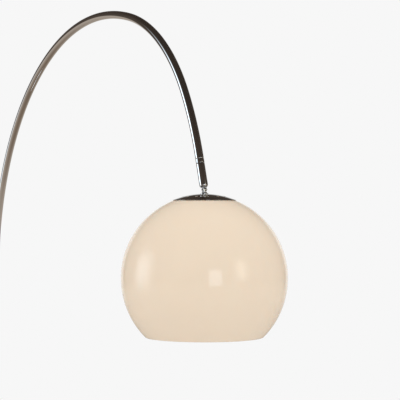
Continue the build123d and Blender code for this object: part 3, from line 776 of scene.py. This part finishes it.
def make_knuckle():
    foot_radius = 9.5
    foot_lip = 0.8
    foot_height = 4.2
    waist_radius = 5.2
    flare = []
    for step in range(13):
        turn = math.radians(90 * step / 12)
        flare.append((
            waist_radius + (foot_radius - waist_radius) * (1 - math.sin(turn)),
            cap_outer + foot_lip + (foot_height - foot_lip) * (1 - math.cos(turn)),
        ))
    neck = spin("neck_foot", [
        (0, cap_outer), (foot_radius - 0.2, cap_outer), (foot_radius, cap_outer + 0.2), *flare,
        (waist_radius - 0.2, cap_outer + foot_height + 0.2), (0, cap_outer + foot_height + 0.2),
    ], 96)
    stand(neck, globe_centre)
    lower = soften(tongue("knuckle_fork", Vector((0, 0, -1)), 7.2, -knuckle_face, -knuckle_gap), 0.3)
    fit(combine(neck, lower, "UNION"), "head", "knuckle_lower")

    screw = spin("pivot_bolt", rounded([
        (0, -7.0), (1.5, -7.0, 0.2), (1.5, 3.75), (3.4, 3.75, 0.15), (3.4, 5.95, 0.8),
        (1.25, 5.95), (1.25, 4.75), (0, 4.45),
    ], 5), 48, (1.25,))
    fit(stand(screw, pivot, NEAR), "head", "pivot_screw")

    nut = spin("pivot_dome_nut", [
        (1.5, 4.05), (2.6, 4.05), (2.75, 4.25), (2.75, 5.3), (2.6, 5.5), *arc(2.3, 15, 90, 6, 4.95),
        (0, 6.9), (1.5, 5.4),
    ], 48, (2.75,))
    fit(stand(nut, pivot, FAR), "head", "pivot_nut")


# Shade cap

vent_copies = 12
vent_radius = 3.2
vent_ring = 49.0
vent_start = 8.0
vent_cell = (41.0, 57.0)
cell_steps = 6


def lifted(point, radius):
    """A point of the cap's plan, raised on to the cap's sphere."""
    return Vector((point.x, point.y, math.sqrt(cap_outer ** 2 - point.length_squared))) * radius / cap_outer


def polar(radius, angle):
    return Vector((radius * math.cos(angle), radius * math.sin(angle)))


def vent_cell_border():
    """The border of one vent's cell, once round, in the cap's plan."""
    low, high = vent_cell
    half = math.pi / vent_copies
    steps = [step / cell_steps for step in range(cell_steps)]
    border = [polar(high, -half + 2 * half * t) for t in steps]
    border += [polar(high + (low - high) * t, half) for t in steps]
    border += [polar(low, half - 2 * half * t) for t in steps]
    border += [polar(low + (high - low) * t, -half) for t in steps]
    return border


def vented_wedge(name):
    """A twelfth of the cap: two skins of one sphere, a rim, a centre hole and one round vent."""
    bm = bmesh.new()
    half = math.pi / vent_copies
    vent = Vector((vent_ring, 0))
    border = vent_cell_border()
    turns = [-half + 2 * half * step / cell_steps for step in range(cell_steps + 1)]
    edges = {}
    for skin_radius in (cap_outer, cap_outer - cap_thickness):
        loops = []
        for t in (0, 0.12, 0.35, 0.65, 1):
            loop = []
            for point in border:
                mouth = vent + (point - vent).normalized() * vent_radius
                loop.append(bm.verts.new(lifted(mouth.lerp(point, t), skin_radius)))
            loops.append(loop)
        for first, second in zip(loops, loops[1:]):
            skin(bm, first, second, True)
        edges["vent", skin_radius] = loops[0]
        for reach, radii in (
            ("hole", (4.1, 8, 14, 20, 26, 32, 37, vent_cell[0])),
            ("rim", (cap_rim_radius, 69, 65, 61, vent_cell[1])),
        ):
            rows = [[bm.verts.new(lifted(polar(r, turn), skin_radius)) for turn in turns] for r in radii]
            for first, second in zip(rows, rows[1:]):
                skin(bm, first, second, False)
            edges[reach, skin_radius] = rows[0]
    inner = cap_outer - cap_thickness
    skin(bm, edges["vent", cap_outer], edges["vent", inner], True)
    for reach in ("hole", "rim"):
        skin(bm, edges[reach, cap_outer], edges[reach, inner], False)
    return mesh_object(name, bm)


def make_cap():
    cap = repeat(vented_wedge("vented_cap"), vent_copies, finishes["chrome"])
    cap.data.transform(Matrix.Rotation(math.radians(vent_start), 4, "Z"))
    soften(cap, 0.3, 2, 50.0)
    fit(stand(cap, globe_centre), "head", "shade_cap")


# Globe

def make_globe():
    inner = globe_radius - globe_wall
    low = -math.degrees(math.asin(mouth_drop / globe_radius))
    low_inner = -math.degrees(math.asin(mouth_drop / inner))
    high = math.degrees(math.acos(top_opening_radius / globe_radius))
    high_inner = math.degrees(math.acos(top_opening_radius / inner))
    lip = 0.35
    top_inner = inner * math.sin(math.radians(high_inner))
    outline = arc(globe_radius, low + lip, high - lip, 110)
    outline += [(top_opening_radius, outline[-1][1] - 0.6), (top_opening_radius, top_inner)]
    outline += arc(inner, high_inner - lip, low_inner + lip, 100)
    rim = outline[-1][0]
    for step_out, step_up in ((0.2, 0.3), (0.8, 0), (2.6, 0), (3.3, 0.4)):
        outline.append((rim + step_out, -mouth_drop + step_up))
    globe = spin("globe_shell", outline, 160)
    fit(stand(globe, globe_centre), "head", "globe_shade", sharp=50.0)

    gasket = spin("seat_gasket", rounded([
        (62, 172.6), (68, 172.6, 0.4), (68, 174.1, 0.4), (62, 176.1, 0.4),
    ], 3), 128)
    fit(stand(gasket, globe_centre), "head", "shade_gasket")


# Lampholder and bulb

def make_lampholder():
    washer = spin("gallery_thrust_washer", rounded([
        (4, 169.4), (10, 169.4, 0.3), (10, 170.6, 0.3), (4, 170.6),
    ], 3), 64)
    fit(stand(washer, globe_centre), "head", "gallery_washer")

    nut = spin("gallery_lock_nut", nut_outline(4, 6.5, 165.4, 169.4), 48, (6.5,))
    fit(stand(nut, globe_centre), "head", "gallery_nut")

    cap = spin("lampholder_cap", rounded([
        (4, 164), (7, 164, 0.4), (7, 158, 1.0), (19.5, 147, 2.5), (19.5, 137, 0.3), (17.3, 137),
        (17.3, 146), (7, 152), (4, 152),
    ], 6), 96)
    fit(stand(cap, globe_centre), "head", "holder_cap")

    skirt_outline = rounded([
        (17.3, 98), (18.2, 98, 0.3), (19.5, 100, 0.8), (19.5, 136.7, 0.3), (17.3, 136.7),
    ], 5)
    skirt = wedge("lampholder_skirt", skirt_outline, 24, 8, 0.45, 0.18, 19.2)
    repeat(skirt, 24, finishes["phenolic"])
    fit(stand(skirt, globe_centre), "head", "holder_skirt")

    neck = 11.5
    neck_start = 99.0
    bulb_radius = 30.0
    bulb_centre = 53.0
    shoulder = 32.0
    pull = 34.0
    turn = math.radians(shoulder)
    start = Vector((bulb_radius * math.cos(turn), bulb_centre + bulb_radius * math.sin(turn)))
    start_pull = Vector((-math.sin(turn), math.cos(turn))) * pull
    end = Vector((neck, neck_start))
    end_pull = Vector((0, pull))
    outline = arc(bulb_radius, -90, shoulder, 40, bulb_centre)
    for step in range(1, 19):
        t = step / 18
        outline.append(tuple(
            (2 * t ** 3 - 3 * t ** 2 + 1) * start + (t ** 3 - 2 * t ** 2 + t) * start_pull
            + (3 * t ** 2 - 2 * t ** 3) * end + (t ** 3 - t ** 2) * end_pull
        ))
    outline += [(neck, 101), (0, 101)]
    bulb = spin("bulb_envelope", outline, 96)
    fit(stand(bulb, globe_centre), "head", "bulb_glass")


# Studio: a plain pale floor, soft light, and soft boxes that only reflections show

def make_floor():
    material, bench = new_material("pale_floor")
    where = bench.place()
    distance = bench.add("ShaderNodeVectorMath", {"operation": "LENGTH"}, {0: where}, 1)
    grain = bench.noise(where, 90.0, 4.0)
    finish_surface(bench, {
        "Base Color": bench.blend(grain, (0.84, 0.84, 0.84), (0.88, 0.88, 0.88)),
        "Roughness": 0.7,
        "Alpha": 1 - distance.rising(2.3, 3.6),
    })
    floor = spin("floor", [(0, -0.2), (3700, -0.2), (3700, -2), (0, -2)], 128)
    floor.data.materials.append(material)
    floor.visible_glossy = False


soft_boxes = (
    # colour, azimuths, heights and softness in degrees, seen from the lamp; the last two are the backdrop
    ((2.20, 2.50, 2.70), (-106, -80), (-8, 22), 10),
    ((2.60, 2.50, 2.10), (44, 60), (0, 22), 8),
    ((2.20, 2.40, 2.60), (6, 24), (-8, 13), 2),
    ((0.85, 0.85, 0.84), (150, 225), (-9, 14), 6),
    ((0.85, 0.85, 0.84), (-225, -150), (-9, 14), 6),
)


def make_world():
    world = bpy.data.worlds.new("studio")
    bpy.context.scene.world = world
    world.use_nodes = True
    world.node_tree.nodes.clear()
    bench = Bench(world.node_tree)
    toward = bench.add("ShaderNodeTexCoord")

    def along(axis):
        return bench.add("ShaderNodeVectorMath", {"operation": "DOT_PRODUCT"}, {0: toward, 1: axis}, 1)

    to_degrees = 180 / math.pi
    side, back, up = along(view_right), along(view_back), along(Vector((0, 0, 1)))
    azimuth = side.maths("ARCTAN2", side, back) * to_degrees
    height = up.maths("ARCSINE", up) * to_degrees

    # Reflections show a dim, warm studio with a pale floor, three soft boxes and a lit backdrop.
    room = bench.blend(height.rising(0, 55), (0.075, 0.058, 0.046), (0.036, 0.027, 0.021))
    floor_seen = bench.blend(height.rising(-70, -12), (0.20, 0.15, 0.11), (0.42, 0.36, 0.30))
    room = bench.blend(1 - height.rising(-9, -3), room, floor_seen)
    for colour, sides, heights, softness in soft_boxes:
        mask = azimuth.between(*sides, softness) * height.between(*heights, softness)
        room = bench.blend(mask, room, colour)

    soft_light = bench.blend(height.rising(-60, 60), (0.86, 0.86, 0.86), (1.06, 1.06, 1.06))
    is_camera = bench.add("ShaderNodeLightPath", output=0)
    is_glossy = bench.add("ShaderNodeLightPath", output=3)
    seen = bench.blend(is_camera, bench.blend(is_glossy, soft_light, room), (0.93, 0.93, 0.93))
    background = bench.add("ShaderNodeBackground", sockets={"Color": seen})
    bench.add("ShaderNodeOutputWorld", sockets={"Surface": background})


def make_camera():
    camera = bpy.data.objects.new("camera", bpy.data.cameras.new("camera"))
    bpy.context.scene.collection.objects.link(camera)
    camera.data.lens = lens_length
    camera.data.clip_end = 50
    stand_point = globe_centre + view_back * view_distance - view_right * view_side_step
    stand_point.z = globe_centre.z + view_height
    camera.location = stand_point
    camera.rotation_euler = (-view_back).to_track_quat("-Z", "Y").to_euler()
    bpy.context.scene.camera = camera


make_base()
make_column()
make_lock()
make_arc()
make_stem()
make_knuckle()
make_cap()
make_globe()
make_lampholder()
for node in frame["nodes"].values():
    node.data.materials.clear()
    node.data.materials.append(finishes[slot_of[node.name]])
make_floor()
make_world()
make_camera()
bpy.context.scene.view_settings.view_transform = "Standard"
